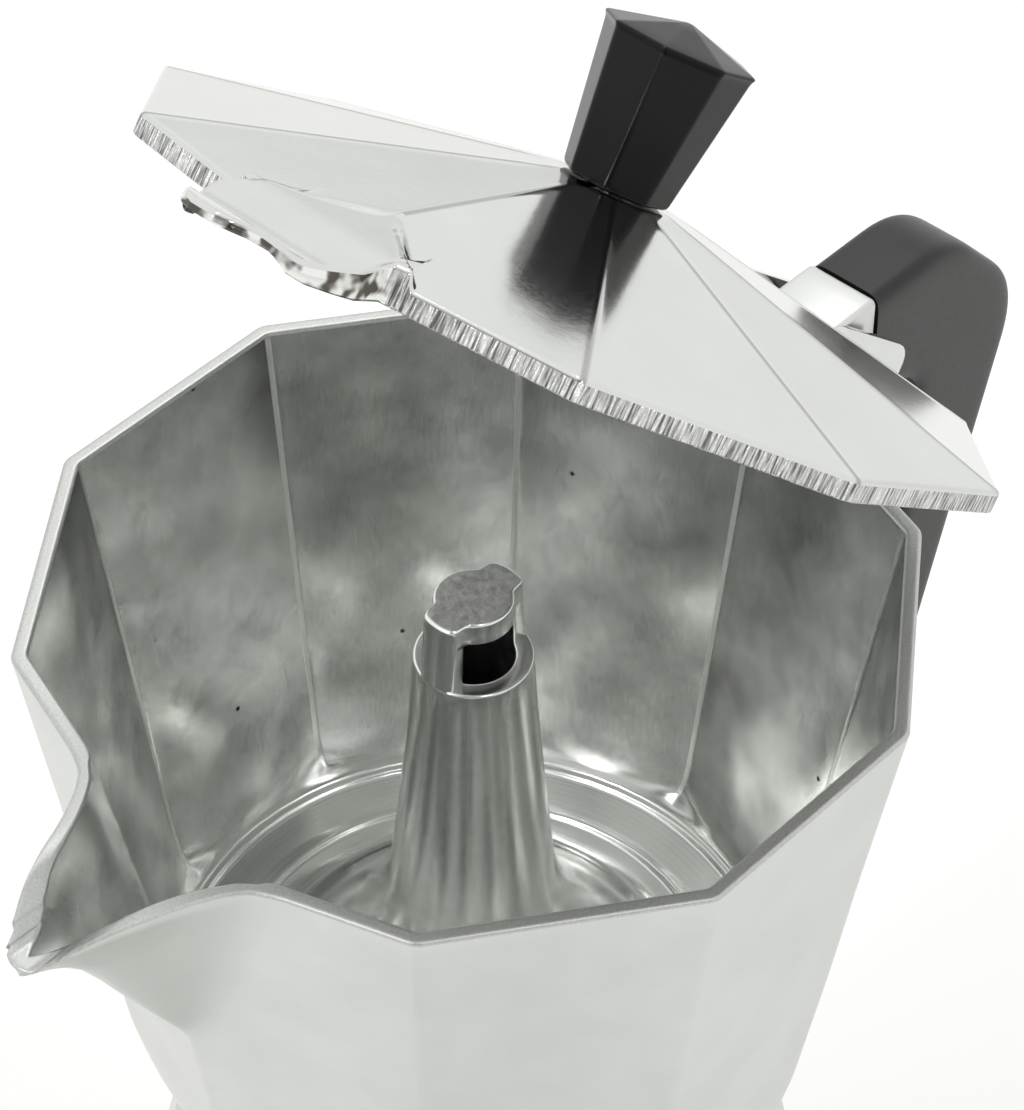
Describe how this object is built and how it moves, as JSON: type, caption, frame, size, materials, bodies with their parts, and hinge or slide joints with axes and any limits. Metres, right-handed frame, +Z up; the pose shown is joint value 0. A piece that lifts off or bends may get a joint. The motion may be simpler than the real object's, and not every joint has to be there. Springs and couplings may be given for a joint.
{
  "type": "stovetop moka pot",
  "caption": "Ten-sided cast aluminium stovetop coffee maker with spout, central column, hinged pyramid lid, black knob and handle, boiler, funnel and safety valve.",
  "frame": {"origin": "on the pot's axis at the boiler's flat underside, in the middle of the base", "axes": "+Z up along the pot's axis; -X towards the spout's tip, +X towards the handle; the lid's hinge pin lies along Y"},
  "size_m": [0.2057, 0.1264, 0.3045],
  "materials": {
    "cast_aluminium": "satin polished casting",
    "sheet_aluminium": "mirror polished pressed sheet",
    "plain_aluminium": "drawn and perforated sheet, satin",
    "steel": "plain steel",
    "brass": "turned",
    "black_phenolic": "moulded, satin to glossy",
    "silicone": "matt, translucent white",
    "red_fibre": "matt sealing washer"
  },
  "bodies": {
    "base": {"boiler": "cast_aluminium", "valve_washer": "red_fibre", "valve_body": "brass", "valve_spring": "steel", "valve_cap": "brass", "funnel": "plain_aluminium", "funnel_sieve": "plain_aluminium"},
    "poppet": {"valve_poppet": "steel"},
    "seal": {"gasket": "silicone", "filter_plate": "plain_aluminium"},
    "upper": {"collector": "cast_aluminium", "handle": "black_phenolic", "handle_screw": "steel", "hinge_pin": "steel"},
    "cover": {"lid": "sheet_aluminium", "knob": "black_phenolic", "knob_screw": "steel", "knob_washer": "steel"}
  },
  "joints": [
    {"name": "collector_lift", "type": "slide", "parent": "base", "child": "seal", "axis": [0, 0, 1], "range_m": [0, 0.0071]},
    {"name": "collector_turn", "type": "hinge", "parent": "seal", "child": "upper", "pos_m": [0, 0, 0.1036], "axis": [0, 0, 1], "range_deg": [0, 720]},
    {"name": "lid_hinge", "type": "hinge", "parent": "upper", "child": "cover", "pos_m": [0.07319, 0, 0.20132], "axis": [0, 1, 0], "range_deg": [-37, 68]},
    {"name": "valve_slide", "type": "slide", "parent": "base", "child": "poppet", "axis": [0, -1, 0], "range_m": [0, 0.0015], "stiffness_N_per_m": 500, "springref_m": -0.002, "deforming": ["valve_spring"]}
  ],
  "couplings": [
    {"joint": "collector_lift", "follows": "collector_turn", "m_per_rad": 0.00055704}
  ]
}
